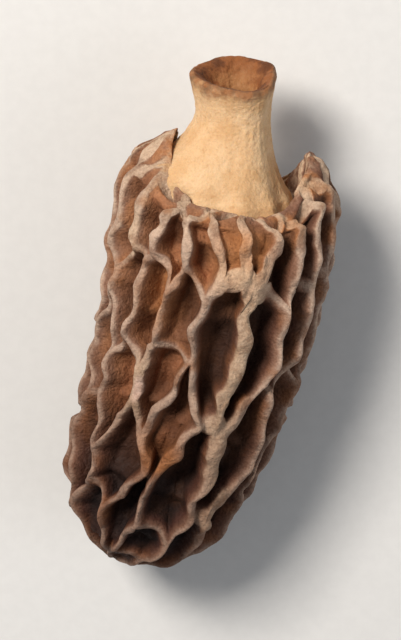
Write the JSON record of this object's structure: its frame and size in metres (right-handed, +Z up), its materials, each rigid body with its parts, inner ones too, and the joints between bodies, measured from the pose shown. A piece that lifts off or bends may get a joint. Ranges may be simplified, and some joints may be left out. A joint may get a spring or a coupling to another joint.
{
  "type": "morel mushroom",
  "caption": "Dried morel lying on its side: a long pitted and ridged brown cap, bent a little towards the tip, on a short cream stem that is hollow at its cut end.",
  "frame": {"origin": "middle of the footprint on the surface that the mushroom lies on", "axes": "+Y towards the stem's cut end, -Y towards the tip of the cap, which is bent towards -X, +Z up from the surface that it lies on"},
  "size_m": [0.0182, 0.0338, 0.0149],
  "materials": {
    "cap_skin": "dry and matt, pale grey-tan along the ridges, dark brown in the pits",
    "stem_skin": "dry and matt with a mealy grain, orange-brown at the cut end"
  },
  "bodies": {
    "root": {"cap": "cap_skin", "stem": "stem_skin"}
  },
  "joints": []
}
